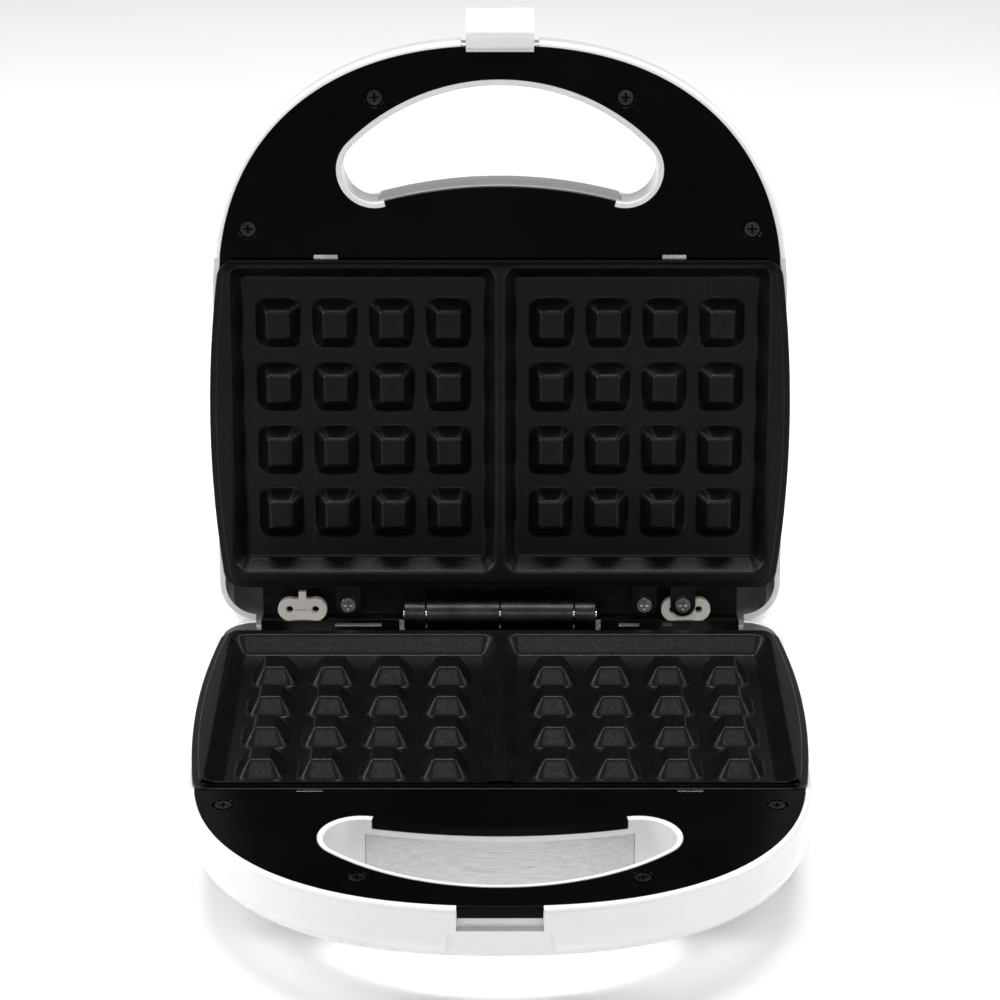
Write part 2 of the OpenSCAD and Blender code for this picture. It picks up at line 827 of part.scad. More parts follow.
module plate_brackets() {
    color("#202020") opened() as_lid() for (u = bracket_u)
        translate([u, -bracket_end, -bracket_drop - bracket_t]) difference() {
            union() {
                cylinder(r = bracket_r, h = bracket_t, $fn = 48);
                translate([-bracket_r, bracket_end - plate_back, 0])
                    cube([2 * bracket_r, plate_back - bracket_end, bracket_t]);
            }
            translate([0, 0, -1]) cylinder(r = screw_r + 0.25, h = bracket_t + 2, $fn = 32);
        }
}

module plate_bracket_screws() {
    color("dimgray") opened() as_lid() for (u = bracket_u)
        translate([u, -bracket_end, -bracket_drop]) pan_screw(screw_r, head_r, 1.5, bracket_screw_l);
}

// ---------- electrical parts in the base ----------

module thermostat() {
    color("peru") at_hinge() {
        post(0, thermostat_v, thermostat_r, [fit_gap - shield_drop, -plate_under - sensor_h]);
        post(0, thermostat_v, sensor_r, [-plate_under - sensor_h, -plate_under]);
    }
}

module thermal_fuse() {
    color("gold") at_hinge() rod_x(fuse_v, -plate_under - fuse_r, fuse_r, -fuse_l / 2, fuse_l / 2);
}

module terminal_block() {
    color("ivory") at_hinge() difference() {
        block([block_u - block_half, block_u + block_half], [block_v, block_v + block_l],
            [-floor_in, block_h - floor_in]);
        for (side = [-1, 1])
            translate([block_u + side * block_pitch / 2, 1 - block_v, lead_z]) rotate([90, 0, 0])
                cylinder(r = 2 * lead_r, h = block_l + 2, $fn = 32);
    }
}

module cord_gland() {
    color("black") at_hinge() translate([inlet_u, rear_reach, -inlet_drop]) rotate([-90, 0, 0]) difference() {
        union() {
            translate([0, 0, gland_flange_t - gland_l]) cylinder(r = gland_r, h = gland_l, $fn = 48);
            cylinder(r = gland_flange_r, h = gland_flange_t, $fn = 48);
        }
        translate([0, 0, -gland_l]) cylinder(r = inlet_r, h = 2 * gland_l, $fn = 48);
    }
}

// Tube with a closed end at each end of a path
module tube(path, r, sides) {
    n = len(path);
    rings = [
        for (i = [0 : n - 1])
            let (
                a = path[max(0, i - 1)],
                b = path[min(n - 1, i + 1)],
                t = (b - a) / norm(b - a),
                up = abs(t[2]) > 0.9 ? [1, 0, 0] : [0, 0, 1],
                s = cross(t, up) / norm(cross(t, up)),
                w = cross(s, t)
            )
            [for (k = [0 : sides - 1]) path[i] + r * (cos(360 * k / sides) * s + sin(360 * k / sides) * w)]
    ];
    skin([for (i = [n - 1 : -1 : 0]) rings[i]]);
}

// One lead from the terminal block over the floor and up through the heat shield to the heater's end
module lead(from_u, side) {
    start = block_v + block_l;
    front = plate_screws[0][1] + lead_bend;
    across = [for (u = [1, 0, -1]) [u * plate_screws[0][0], -front - (1 - abs(u)) * lead_bend, lead_z]];
    tube(concat(
        [[from_u, 1 - start, lead_z], [from_u, -start - 5, lead_z]],
        side < 0 ? across : [],
        [
            [side * (heater_u - 5), -start - 6, lead_z],
            [side * heater_u, -start, lead_z],
            [side * heater_u, -lead_hole_v - 4, lead_z],
            [side * heater_u, -lead_hole_v, lead_z + 4],
            [side * heater_u, -lead_hole_v, -heater_drop - 2],
            [side * heater_u, -lead_hole_v - 1, -heater_drop],
            [side * heater_u, tiny + heater_pin_l - heater_back, -heater_drop]
        ]), lead_r, 8);
}

module internal_leads() {
    color("firebrick") at_hinge() {
        lead(block_u - block_pitch / 2, -1);
        lead(block_u + block_pitch / 2, 1);
    }
}

// ---------- hinge ----------

module bracket_foot(half) {
    difference() {
        block([-half, half], [bracket_screw_v - 5, bracket_screw_v + 5],
            [-shield_drop, -shield_drop + foot_plate_t]);
        for (side = [-1, 1])
            post(side * bracket_screw_u, bracket_screw_v, screw_r + 0.25, [-half_h, 0]);
    }
}

module base_hinge_bracket() {
    color("#202020") at_hinge() difference() {
        union() {
            bracket_foot(lug_out);
            for (side = [0, 1]) mirror([side, 0, 0]) {
                rod_x(0, 0, barrel_r, lug_in, lug_out);
                block([lug_in, lug_out], [-web_back, barrel_r], [-shield_drop, 0]);
            }
        }
        rod_x(0, 0, pin_r + pin_gap, -lug_out - 1, lug_out + 1);
    }
}

module lid_hinge_bracket() {
    color("#202020") opened() as_lid() difference() {
        union() {
            bracket_foot(barrel_half);
            for (side = [0, 1]) mirror([side, 0, 0]) {
                rod_x(0, 0, barrel_r, barrel_split, barrel_half);
                block([barrel_split, web_end], [-web_back, barrel_r], [-shield_drop, 0]);
            }
        }
        rod_x(0, 0, pin_r + pin_gap, -barrel_half - 1, barrel_half + 1);
    }
}

module bracket_screw_set() {
    for (side = [-1, 1])
        translate([side * bracket_screw_u, -bracket_screw_v, -shield_drop + foot_plate_t])
            pan_screw(screw_r, head_r, 1.8, 12);
}

module base_bracket_screws() {
    color("dimgray") at_hinge() bracket_screw_set();
}

module lid_bracket_screws() {
    color("dimgray") opened() as_lid() bracket_screw_set();
}

module hinge_pin() {
    color("silver") at_hinge() rod_x(0, 0, pin_r, -lug_out - 0.5, lug_out + 0.5);
}

// ---------- feet, lamps and latch ----------

module rubber_feet() {
    color("#303030") at_hinge() for (side = [-1, 1])
        for (v = foot_v) {
            post(side * foot_u, v, foot_r, [-half_h - foot_h, -half_h]);
            post(side * foot_u, v, spigot_r, [-half_h, -floor_in]);
            post(side * foot_u, v, spigot_r + spigot_lip, [-floor_in, -floor_in + 2]);
        }
}

module lens(u) {
    opened() post(u, lamp_v, lens_r, [floor_in - 2, half_h + panel_t + lens_rise]);
}

module power_lens() {
    color("red") lens(-lamp_u);
}

module ready_lens() {
    color("limegreen") lens(lamp_u);
}

module indicator_lamps() {
    color("orange") opened() for (side = [-1, 1])
        post(side * lamp_u, lamp_v, lamp_r, [floor_in - 3 - lamp_l, floor_in - 3]);
}

function latch_outer(z) = case_l + latch_out * sqrt(1 - pow((z - latch_mid) / latch_span, 2));

module latch() {
    inner = [[latch_face_v, -hook_top], [latch_face_v, latch_h - latch_ear_r - 2]];
    ear = arc(latch_v, latch_h, latch_ear_r, 300, 60, 10);
    top = [[latch_face_v + 1, latch_h + latch_ear_r + 1], [latch_face_v + 3, latch_top]];
    outer = [for (i = [0 : 12]) let (z = latch_top - (latch_top + latch_end) * i / 12) [latch_outer(z), z]];
    hook = [
        [latch_face_v, -latch_end],
        [latch_face_v, 0.6 - pocket_end],
        [latch_face_v - hook_run, -hook_top - 1.6],
        [latch_face_v - hook_run, -hook_top - 0.6]
    ];
    color("white") opened() difference() {
        rotate([90, 0, -90]) linear_extrude(latch_w, center = true)
            polygon(concat(inner, ear, top, outer, hook));
        rod_x(latch_v, latch_h, latch_pin_r + screw_gap, -latch_w, latch_w);
        block([-spring_half - spring_room, spring_half + spring_room],
            [latch_v - latch_ear_r - 1, latch_v + spring_r + spring_room],
            [latch_h - spring_r - spring_room, latch_h + spring_r + spring_room]);
    }
}

module latch_pin() {
    color("silver") opened()
        rod_x(latch_v, latch_h, latch_pin_r, 0.7 - notch_half - cheek_t, notch_half + cheek_t - 0.7);
}

module latch_spring() {
    steps = spring_turns * 12;
    coil = [
        for (i = [0 : steps])
            [
                spring_half * (2 * i / steps - 1),
                spring_r * cos(30 * i) - latch_v,
                latch_h + spring_r * sin(30 * i)
            ]
    ];
    color("silver") opened() tube(coil, spring_wire_r, 6);
}

base_casing();
base_trim();
base_grip_inlay();
rubber_feet();
base_trim_screws();
lower_plate();
lower_plate_clips();
lower_plate_screws();
lower_heating_element();
lower_heat_shield();
lower_insulators();
thermostat();
thermal_fuse();
terminal_block();
cord_gland();
internal_leads();
base_hinge_bracket();
base_bracket_screws();
hinge_pin();
lid_casing();
lid_trim();
lid_grip_inlay();
lid_panel();
lid_trim_screws();
upper_plate();
upper_plate_clips();
upper_plate_screws();
upper_heating_element();
upper_heat_shield();
upper_insulators();
plate_brackets();
plate_bracket_screws();
lid_hinge_bracket();
lid_bracket_screws();
power_lens();
ready_lens();
indicator_lamps();
latch();
latch_pin();
latch_spring();
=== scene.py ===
"""Looks of the two-slice waffle maker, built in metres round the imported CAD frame.

Shapes are drawn in millimetres in the hinge frame of the base half (x right, y to the back, z up,
hinge axis on x) and then placed on the base, or mirrored and turned onto the opened lid.
"""

import json
import math

import bmesh
import bpy
from mathutils import Matrix, Vector


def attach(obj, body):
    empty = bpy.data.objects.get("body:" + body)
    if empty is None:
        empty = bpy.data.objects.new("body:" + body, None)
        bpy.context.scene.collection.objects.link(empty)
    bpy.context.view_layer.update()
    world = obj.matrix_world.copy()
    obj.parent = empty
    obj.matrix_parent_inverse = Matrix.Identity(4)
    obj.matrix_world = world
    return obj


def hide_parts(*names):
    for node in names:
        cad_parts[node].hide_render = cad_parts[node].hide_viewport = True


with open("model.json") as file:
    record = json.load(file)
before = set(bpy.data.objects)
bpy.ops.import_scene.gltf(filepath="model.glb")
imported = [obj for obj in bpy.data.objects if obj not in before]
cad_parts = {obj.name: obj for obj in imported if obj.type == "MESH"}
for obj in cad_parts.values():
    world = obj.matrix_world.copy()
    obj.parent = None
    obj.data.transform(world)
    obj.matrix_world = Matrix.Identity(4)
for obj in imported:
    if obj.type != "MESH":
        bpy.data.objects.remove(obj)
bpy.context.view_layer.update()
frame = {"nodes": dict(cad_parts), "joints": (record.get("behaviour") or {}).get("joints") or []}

# ---------- camera ----------

hinge = next(j for j in frame["joints"] if j["name"] == "lid_hinge")
HINGE = Vector(hinge["pos_m"])
CAMERA_FROM_HINGE = Vector((0.0, -1.1639, 0.5387))
CAMERA_PITCH = 22.65
CAMERA_LENS = 108.54

camera_data = bpy.data.cameras.new("camera")
camera_data.lens = CAMERA_LENS
camera_data.sensor_width = 36.0
camera_data.clip_end = 50.0
camera = bpy.data.objects.new("camera", camera_data)
camera.location = HINGE + CAMERA_FROM_HINGE
camera.rotation_euler = (math.radians(90.0 - CAMERA_PITCH), 0.0, 0.0)
bpy.context.scene.collection.objects.link(camera)
bpy.context.scene.camera = camera

# ---------- sizes, millimetres ----------

MM = 0.001
OPEN_ANGLE = 98.0
HALF_W, CASE_L, FRONT_START, FRONT_RUN, FRONT_POWER = 119.0, 243.0, 134.7, 108.3, 2.33
HALF_H, HANDLE_H, WALL, FIT = 43.0, 24.0, 2.3, 0.2
REAR_REACH, REAR_RISE, REAR_CORNER = 16.5, 32.0, 16.0
SIDE_DROP, REAR_DROP, RIM_DROP, EDGE_R = 3.8, 9.0, 1.2, 2.2
REAR_OPEN_HALF = HALF_W - REAR_CORNER + 1
HANDLE_ROUND = (8.0, 9.0)
BODY_ROUND, BODY_INSET, BODY_CORNER, BODY_SET = 8.0, 2.0, 16.0, 0.4
GRIP_BACK, GRIP_FRONT, GRIP_BACK_R, GRIP_HALF, GRIP_END_R = 182.9, 224.5, 196.0, 51.5, 13.4
GRIP_CENTRE = GRIP_BACK - GRIP_BACK_R
GRIP_END_V = GRIP_CENTRE + math.sqrt((GRIP_BACK_R + GRIP_END_R) ** 2 - GRIP_HALF**2)
GRIP_RISE = GRIP_FRONT - GRIP_END_V
GRIP_FRONT_R = (GRIP_HALF**2 + GRIP_RISE**2 - GRIP_END_R**2) / (2 * (GRIP_RISE - GRIP_END_R))
TRIM_T, TRIM_DROP, TRIM_INSET = 2.0, 1.6, WALL + FIT
FLANGE_HALF, FLANGE_H, FLANGE_T = 47.5, 3.8, 1.4
PLATE_HALF, PLATE_SIDE_R, PLATE_BACK, PLATE_FRONT, PLATE_CORNER = 121.4, 482.0, 11.7, 152.5, 8.0
TIER_STEP, TIER_DROP, SKIRT_T, PLATE_GAP = 2.6, 1.8, 1.8, 0.15
MOULD_HALF, MOULD_BACK, MOULD_FRONT, MOULD_CORNER = 112.3, 18.7, 150.0, 6.5
MOULD_DEPTH, MOULD_DRAFT, RIDGE_W, PLATE_UNDER = 7.5, 5.2, 3.2, 10.85
TIP_W, TIP_L, TIP_DRAFT, TIP_DROP, PYRAMIDS = 8.9, 11.0, 4.8, 0.5, 4
MARGIN_U, MARGIN_V = 5.4, 9.35
STEP_V = PLATE_FRONT + 0.7
POCKET_HALF, POCKET_END, BASE_POCKET_V = 15.45, 11.5, 238.0
NOTCH_HALF, LID_POCKET_V, LID_POCKET_END = 15.95, 236.5, 20.5
THUMB_TOP, THUMB_LOW, THUMB_DEPTH = 18.45, 20.45, 2.3
LATCH_W, LATCH_FACE_V, LATCH_END, LATCH_TOP = 27.3, 241.4, 14.0, 17.5
LIP_H, PANEL_T = 4.7, 0.8
LATCH_EAR_V, LATCH_EAR_H, LATCH_EAR_R, LATCH_BORE_R = CASE_L - 3.2, 9.0, 2.6, 1.25
LATCH_EAR_REACH, LATCH_BULGE, LATCH_MID, LATCH_SPAN = 2.7, 12.9, 4, 19
THUMB_CHEEK, CHEEK_T, BACKING_H, LENS_GAP, SINK_R, SINK_BEVEL = 2, 2.6, 19, 0.1, 4.0, 0.25
SPRING_HALF, SPRING_R, SPRING_ROOM = 4.0, 2.2, 1.3
SHIELD_BACK, SHIELD_T, LIP_NEAR, LIP_FAR, LIP_LOW, LIP_HIGH = 5.2, 0.8, 43.0, 102.0, -10.2, -4.5
LIP_GAPS, LIP_GAP_Z = ((-70.6, -50.6), (50.6, 59.5), (69.4, 73.6)), (-7.6, -5.8)
LIP_RELIEFS, LIP_RELIEF_Z = ((-92.2, -76.2), (71.2, 87.2)), (-5.3, LIP_HIGH + 1)
LAMP_U, LAMP_V, LENS_R = 14.0, 164.5, 3.2
INLAY_HALF, INLAY_T, INLAY_TOP, INLAY_END = 50.0, 0.8, 8.0, 34.0
TRIM_SCREWS = ((103.8, 165.4), (51.2, 219.5))
CLIP_U, CLIP_W, CLIP_T = 72.0, 10.0, 1.4

TO_BASE = Matrix.Translation(HINGE) @ Matrix.Scale(MM, 4)
TO_LID = (
    Matrix.Translation(HINGE)
    @ Matrix.Rotation(math.radians(-OPEN_ANGLE), 4, "X")
    @ Matrix.Diagonal((1, 1, -1, 1))
    @ Matrix.Scale(MM, 4)
)
PLACE = {"base": TO_BASE, "lid": TO_LID, "latch": TO_LID}

# ---------- outlines ----------


def arc(x, y, r, start, end, steps):
    turn = (math.radians(start + (end - start) * i / steps) for i in range(steps + 1))
    return [(x + r * math.cos(a), y + r * math.sin(a)) for a in turn]


def power(c):
    return math.copysign(abs(c) ** (2 / FRONT_POWER), c)


def case_outline(grow, rear, steps=168):
    """Rounded front, straight sides and round rear corners of a casing."""
    front = []
    for i in range(steps + 1):
        t = math.pi * (1 + i / steps)
        front.append(
            ((HALF_W + grow) * power(math.cos(t)), -FRONT_START + (FRONT_RUN + grow) * power(math.sin(t)))
        )
    x, y, r = HALF_W - REAR_CORNER, rear - REAR_CORNER, REAR_CORNER + grow
    return front + arc(x, y, r, 0, 90, 16) + arc(-x, y, r, 90, 180, 16)


def body_outline(grow, rear):
    """The deep part behind the handle opening."""
    side = HALF_W - BODY_INSET
    front_r = GRIP_BACK_R - BODY_SET
    x = side - BODY_CORNER
    y = -GRIP_CENTRE - math.sqrt((front_r - BODY_CORNER) ** 2 - x**2)
    turn = math.degrees(math.atan2(-(y + GRIP_CENTRE), x))
    rx, ry, r = side - REAR_CORNER, rear - REAR_CORNER, REAR_CORNER + grow
    return (
        arc(-x, y, BODY_CORNER + grow, 180, 180 + turn, 14)
        + arc(0, -GRIP_CENTRE, front_r + grow, 180 + turn, 360 - turn, 90)
        + arc(x, y, BODY_CORNER + grow, 360 - turn, 360, 14)
        + arc(rx, ry, r, 0, 90, 16)
        + arc(-rx, ry, r, 90, 180, 16)
    )


def grip_outline(grow, back_grow=None):
    """Kidney-shaped handle opening."""
    lean = math.degrees(math.atan2(GRIP_HALF, GRIP_END_V - GRIP_CENTRE))
    front_centre = GRIP_FRONT - GRIP_FRONT_R
    front_lean = math.degrees(math.atan2(GRIP_HALF, GRIP_END_V - front_centre))
    back = grow if back_grow is None else back_grow
    return (
        arc(-GRIP_HALF, -GRIP_END_V, GRIP_END_R + grow, 90 - lean, 270 - front_lean, 36)
        + arc(0, -front_centre, GRIP_FRONT_R + grow, 270 - front_lean, 270 + front_lean, 60)
        + arc(GRIP_HALF, -GRIP_END_V, GRIP_END_R + grow, 270 + front_lean, 450 + lean, 36)
        + arc(0, -GRIP_CENTRE, GRIP_BACK_R - back, 270 + lean, 270 - lean, 60)
    )


def plate_outline(grow):
    mid = (PLATE_BACK + PLATE_FRONT) / 2
    run = (PLATE_FRONT - PLATE_BACK) / 2 - PLATE_CORNER
    cx = PLATE_HALF - PLATE_SIDE_R
    x = cx + math.sqrt((PLATE_SIDE_R - PLATE_CORNER) ** 2 - run**2)
    turn = math.degrees(math.atan2(run, x - cx))
    r, side = PLATE_CORNER + grow, PLATE_SIDE_R + grow
    return (
        arc(-x, -mid - run, r, 180 + turn, 270, 12)
        + arc(x, -mid - run, r, 270, 360 - turn, 12)
        + arc(cx, -mid, side, -turn, turn, 40)
        + arc(x, -mid + run, r, turn, 90, 12)
        + arc(-x, -mid + run, r, 90, 180 - turn, 12)
        + arc(-cx, -mid, side, 180 - turn, 180 + turn, 40)
    )


def trim_outline(grow):
    """Outline of a trim cover: the casing's front with a straight back edge."""
    back, w, run = STEP_V + FIT - grow, HALF_W - TRIM_INSET + grow, FRONT_RUN - TRIM_INSET + grow
    t0 = math.asin(((back - FRONT_START) / run) ** (FRONT_POWER / 2))
    front = []
    for i in range(161):
        t = math.pi + t0 + (math.pi - 2 * t0) * i / 160
        front.append((w * power(math.cos(t)), -FRONT_START + run * power(math.sin(t))))
    x, y = front[-1]
    return front + [(x - 2 * x * i / 24, y) for i in range(1, 24)]


def rear_at(depth):
    return REAR_REACH * math.sin(math.pi / 2 * min(1, depth / REAR_RISE))


def rounded(depth, run_x, run_z, steps):
    turn = [math.pi / 2 * i / steps for i in range(steps + 1)]
    return [(depth - run_z * (1 - math.cos(a)), -run_x * (1 - math.sin(a))) for a in turn]


def spaced(start, end, step):
    """Values from start down to end, not closer than step, without the two ends."""
    count = max(1, int((start - end) / step))
    return [start + (end - start) * i / count for i in range(1, count)]


# ---------- mesh helpers ----------


def lift(outline, z):
    return [(x, y, z) for x, y in outline]


def mesh_object(name, bm):
    bmesh.ops.recalc_face_normals(bm, faces=bm.faces[:])
    mesh = bpy.data.meshes.new(name)
    bm.to_mesh(mesh)
    bm.free()
    made = bpy.data.objects.new(name, mesh)
    bpy.context.scene.collection.objects.link(made)
    return made


def skin(name, rings, closed=True):
    """Solid skinned over rings of equal length, lowest first."""
    bm = bmesh.new()
    rows = [[bm.verts.new(p) for p in ring] for ring in rings]
    count = len(rows[0])
    for low, high in zip(rows, rows[1:]):
        for i in range(count):
            j = (i + 1) % count
            bm.faces.new((low[i], low[j], high[j], high[i]))
    if closed:
        bm.faces.new(list(reversed(rows[0])))
        bm.faces.new(rows[-1])
    return mesh_object(name, bm)


def block(name, x, y, z):
    bm = bmesh.new()
    made = bmesh.ops.create_cube(bm, size=1.0)["verts"]
    for v in made:
        v.co = (
            (x[0] + x[1]) / 2 + v.co.x * (x[1] - x[0]),
            (y[0] + y[1]) / 2 + v.co.y * (y[1] - y[0]),
            (z[0] + z[1]) / 2 + v.co.z * (z[1] - z[0]),
        )
    return mesh_object(name, bm)


def slab(name, outline, z0, z1):
    return skin(name, [lift(outline, z0), lift(outline, z1)])


def disc(x, y, r, steps=64):
    return arc(x, y, r, 0, 360 * (1 - 1 / steps), steps - 1)


def bake(obj):
    """Applies an object's modifiers to its mesh."""
    graph = bpy.context.evaluated_depsgraph_get()
    mesh = bpy.data.meshes.new_from_object(obj.evaluated_get(graph))
    old, obj.data = obj.data, mesh
    obj.modifiers.clear()
    bpy.data.meshes.remove(old)
    return obj


def combine(obj, other, how):
    """Adds or takes away another solid, which is used up."""
    cut = obj.modifiers.new("cut", "BOOLEAN")
    cut.operation = how
    cut.solver = "MANIFOLD"
    cut.object = other
    bake(obj)
    mesh = other.data
    bpy.data.objects.remove(other)
    bpy.data.meshes.remove(mesh)
    return obj


def take(obj, *others):
    for other in others:
        combine(obj, other, "DIFFERENCE")
    return obj


def join(obj, *others):
    for other in others:
        combine(obj, other, "UNION")
    return obj


def soften(obj, width, segments=2, angle=35.0):
    """Rounds the sharp edges of a solid by width millimetres."""
    bevel = obj.modifiers.new("bevel", "BEVEL")
    bevel.width = width
    bevel.segments = segments
    bevel.limit_method = "ANGLE"
    bevel.angle_limit = math.radians(angle)
    bevel.use_clamp_overlap = True
    return bake(obj)


def smooth(obj, angle=30.0):
    obj.data.shade_smooth()
    obj.data.set_sharp_from_angle(angle=math.radians(angle))
    weighted = obj.modifiers.new("weighted", "WEIGHTED_NORMAL")
    weighted.keep_sharp = True
    return obj


def finish_piece(obj, body, slot, *nodes, angle=30.0):
    """Places a solid drawn in the hinge frame, and gives it its material, its body and the nodes it hides."""
    obj.data.transform(PLACE[body])
    if PLACE[body].determinant() < 0:
        obj.data.flip_normals()
    smooth(obj, angle)
    obj.data.materials.clear()
    obj.data.materials.append(MATERIALS[slot])
    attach(obj, body)
    if nodes:
        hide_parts(*nodes)
    return obj


# ---------- materials ----------


class Nodes:
    """A principled material with object coordinates ready to use."""

    def __init__(self, name):
        self.material = bpy.data.materials.new(name)
        self.material.use_nodes = True
        self.tree = self.material.node_tree
        self.shader = self.tree.nodes["Principled BSDF"]
        self.where = self.tree.nodes.new("ShaderNodeTexCoord").outputs["Object"]

    def link(self, a, b):
        self.tree.links.new(a, b)

    def noise(self, scale, detail=4.0, stretch=(1, 1, 1), rough=0.6):
        mapping = self.tree.nodes.new("ShaderNodeMapping")
        mapping.inputs["Scale"].default_value = stretch
        self.link(self.where, mapping.inputs["Vector"])
        noise = self.tree.nodes.new("ShaderNodeTexNoise")
        noise.inputs["Scale"].default_value = scale
        noise.inputs["Detail"].default_value = detail
        noise.inputs["Roughness"].default_value = rough
        self.link(mapping.outputs["Vector"], noise.inputs["Vector"])
        return noise.outputs["Fac"]

    def cells(self, scale):
        cells = self.tree.nodes.new("ShaderNodeTexVoronoi")
        cells.inputs["Scale"].default_value = scale
        self.link(self.where, cells.inputs["Vector"])
        return cells.outputs["Distance"]

    def ramp(self, value, stops):
        """stops are (position, grey or colour)."""
        ramp = self.tree.nodes.new("ShaderNodeValToRGB")
        ends = ramp.color_ramp.elements
        for i, (at, colour) in enumerate(stops):
            point = ends[i] if i < 2 else ends.new(at)
            point.position = at
            point.color = (*colour, 1) if isinstance(colour, tuple) else (colour, colour, colour, 1)
        self.link(value, ramp.inputs["Fac"])
        return ramp.outputs["Color"]

    def spread(self, value, low, high):
        spread = self.tree.nodes.new("ShaderNodeMapRange")
        spread.inputs["From Min"].default_value = 0.3
        spread.inputs["From Max"].default_value = 0.7
        spread.inputs["To Min"].default_value = low
        spread.inputs["To Max"].default_value = high
        self.link(value, spread.inputs["Value"])
        return spread.outputs["Result"]

    def bump(self, height, strength, distance):
        bump = self.tree.nodes.new("ShaderNodeBump")
        bump.inputs["Strength"].default_value = strength
        bump.inputs["Distance"].default_value = distance
        self.link(height, bump.inputs["Height"])
        self.link(bump.outputs["Normal"], self.shader.inputs["Normal"])

    def set(self, **values):
        for key, value in values.items():
            socket = self.shader.inputs[key.replace("_", " ")]
            socket.default_value = (*value, 1) if isinstance(value, tuple) else value


def plastic(name, low, high, rough, bump=0.03, scale=900.0, **more):
    """Moulded plastic: faint colour drift, uneven gloss and a fine grain."""
    n = Nodes(name)
    n.link(n.ramp(n.noise(14.0, 3.0), [(0.3, low), (0.7, high)]), n.shader.inputs["Base Color"])
    n.link(n.spread(n.noise(45.0, 5.0), *rough), n.shader.inputs["Roughness"])
    n.bump(n.noise(scale, 2.0), bump, 0.0002)
    n.set(**more)
    return n.material


def brushed(name, low, high, rough, across, **more):
    """Brushed metal, with its lines along the axis that across leaves at 1."""
    n = Nodes(name)
    lines = n.noise(60.0, 8.0, across, 0.75)
    n.link(n.ramp(lines, [(0.3, low), (0.7, high)]), n.shader.inputs["Base Color"])
    n.link(n.spread(lines, *rough), n.shader.inputs["Roughness"])
    n.bump(lines, 0.12, 0.0001)
    n.set(Metallic=1.0, **more)
    return n.material


def metal(name, low, high, rough, scale=120.0, metallic=1.0):
    n = Nodes(name)
    n.link(n.ramp(n.noise(scale, 5.0), [(0.3, low), (0.7, high)]), n.shader.inputs["Base Color"])
    n.link(n.spread(n.noise(2.5 * scale, 4.0), *rough), n.shader.inputs["Roughness"])
    n.bump(n.noise(6 * scale, 3.0), 0.08, 0.0001)
    n.set(Metallic=metallic)
    return n.material


def nonstick(name):
    """Speckled non-stick coating: a black film with fine light grains and a slight orange peel."""
    n = Nodes(name)
    grains = n.ramp(n.cells(1500.0), [(0.10, 0.05), (0.2, 0.0035)])
    film = n.ramp(n.noise(22.0, 4.0), [(0.3, 0.55), (0.7, 1.0)])
    mix = n.tree.nodes.new("ShaderNodeMix")
    mix.data_type = "RGBA"
    mix.blend_type = "MULTIPLY"
    mix.inputs["Factor"].default_value = 1.0
    n.link(grains, mix.inputs["A"])
    n.link(film, mix.inputs["B"])
    n.link(mix.outputs["Result"], n.shader.inputs["Base Color"])
    n.link(n.spread(n.noise(700.0, 6.0), 0.26, 0.40), n.shader.inputs["Roughness"])
    n.bump(n.noise(1400.0, 5.0), 0.22, 0.0002)
    n.set(Specular_IOR_Level=0.16)
    return n.material


def lens(name, colour, deep):
    """Clear tinted plastic over a lamp."""
    n = Nodes(name)
    n.link(n.ramp(n.noise(60.0, 2.0), [(0.3, deep), (0.7, colour)]), n.shader.inputs["Base Color"])
    n.link(n.spread(n.noise(300.0), 0.08, 0.16), n.shader.inputs["Roughness"])
    n.bump(n.noise(500.0), 0.05, 0.0001)
    n.set(Transmission_Weight=0.35, IOR=1.49, Coat_Weight=0.6)
    return n.material


WHITE = ((0.70, 0.70, 0.698), (0.75, 0.75, 0.747))
MATERIALS = {
    "white_casing": plastic(
        "white_casing", *WHITE, (0.16, 0.26), 0.02, Coat_Weight=0.35, Coat_Roughness=0.08
    ),
    "black_trim": plastic(
        "black_trim", 0.0010, 0.0022, (0.14, 0.22), 0.02, Specular_IOR_Level=0.05
    ),
    "nonstick": nonstick("nonstick"),
    "brushed_steel": brushed("brushed_steel", 0.42, 0.66, (0.24, 0.42), (1, 28, 28)),
    "spring_steel": metal("spring_steel", 0.45, 0.62, (0.2, 0.35)),
    "dark_screw": metal("dark_screw", 0.022, 0.055, (0.25, 0.45)),
    "heater_steel": metal("heater_steel", 0.18, 0.32, (0.35, 0.55)),
    "dark_sheet": metal("dark_sheet", 0.02, 0.05, (0.4, 0.6)),
    "dark_bracket": metal("dark_bracket", 0.018, 0.04, (0.28, 0.42)),
    "ceramic": plastic(
        "ceramic", (0.80, 0.77, 0.69), (0.88, 0.86, 0.79), (0.4, 0.6), 0.08, 600.0
    ),
    "rubber": plastic("rubber", 0.015, 0.03, (0.65, 0.85), 0.15, 1200.0),
    "brass": metal("brass", (0.55, 0.38, 0.13), (0.7, 0.5, 0.2), (0.25, 0.4)),
    "lead_sleeve": plastic("lead_sleeve", (0.25, 0.02, 0.015), (0.34, 0.03, 0.02), (0.5, 0.7), 0.1),
    "red_lens": lens("red_lens", (0.75, 0.03, 0.02), (0.45, 0.01, 0.01)),
    "green_lens": lens("green_lens", (0.05, 0.6, 0.12), (0.02, 0.35, 0.06)),
    "lamp_glass": lens("lamp_glass", (0.85, 0.6, 0.35), (0.7, 0.4, 0.2)),
}

# ---------- casings ----------


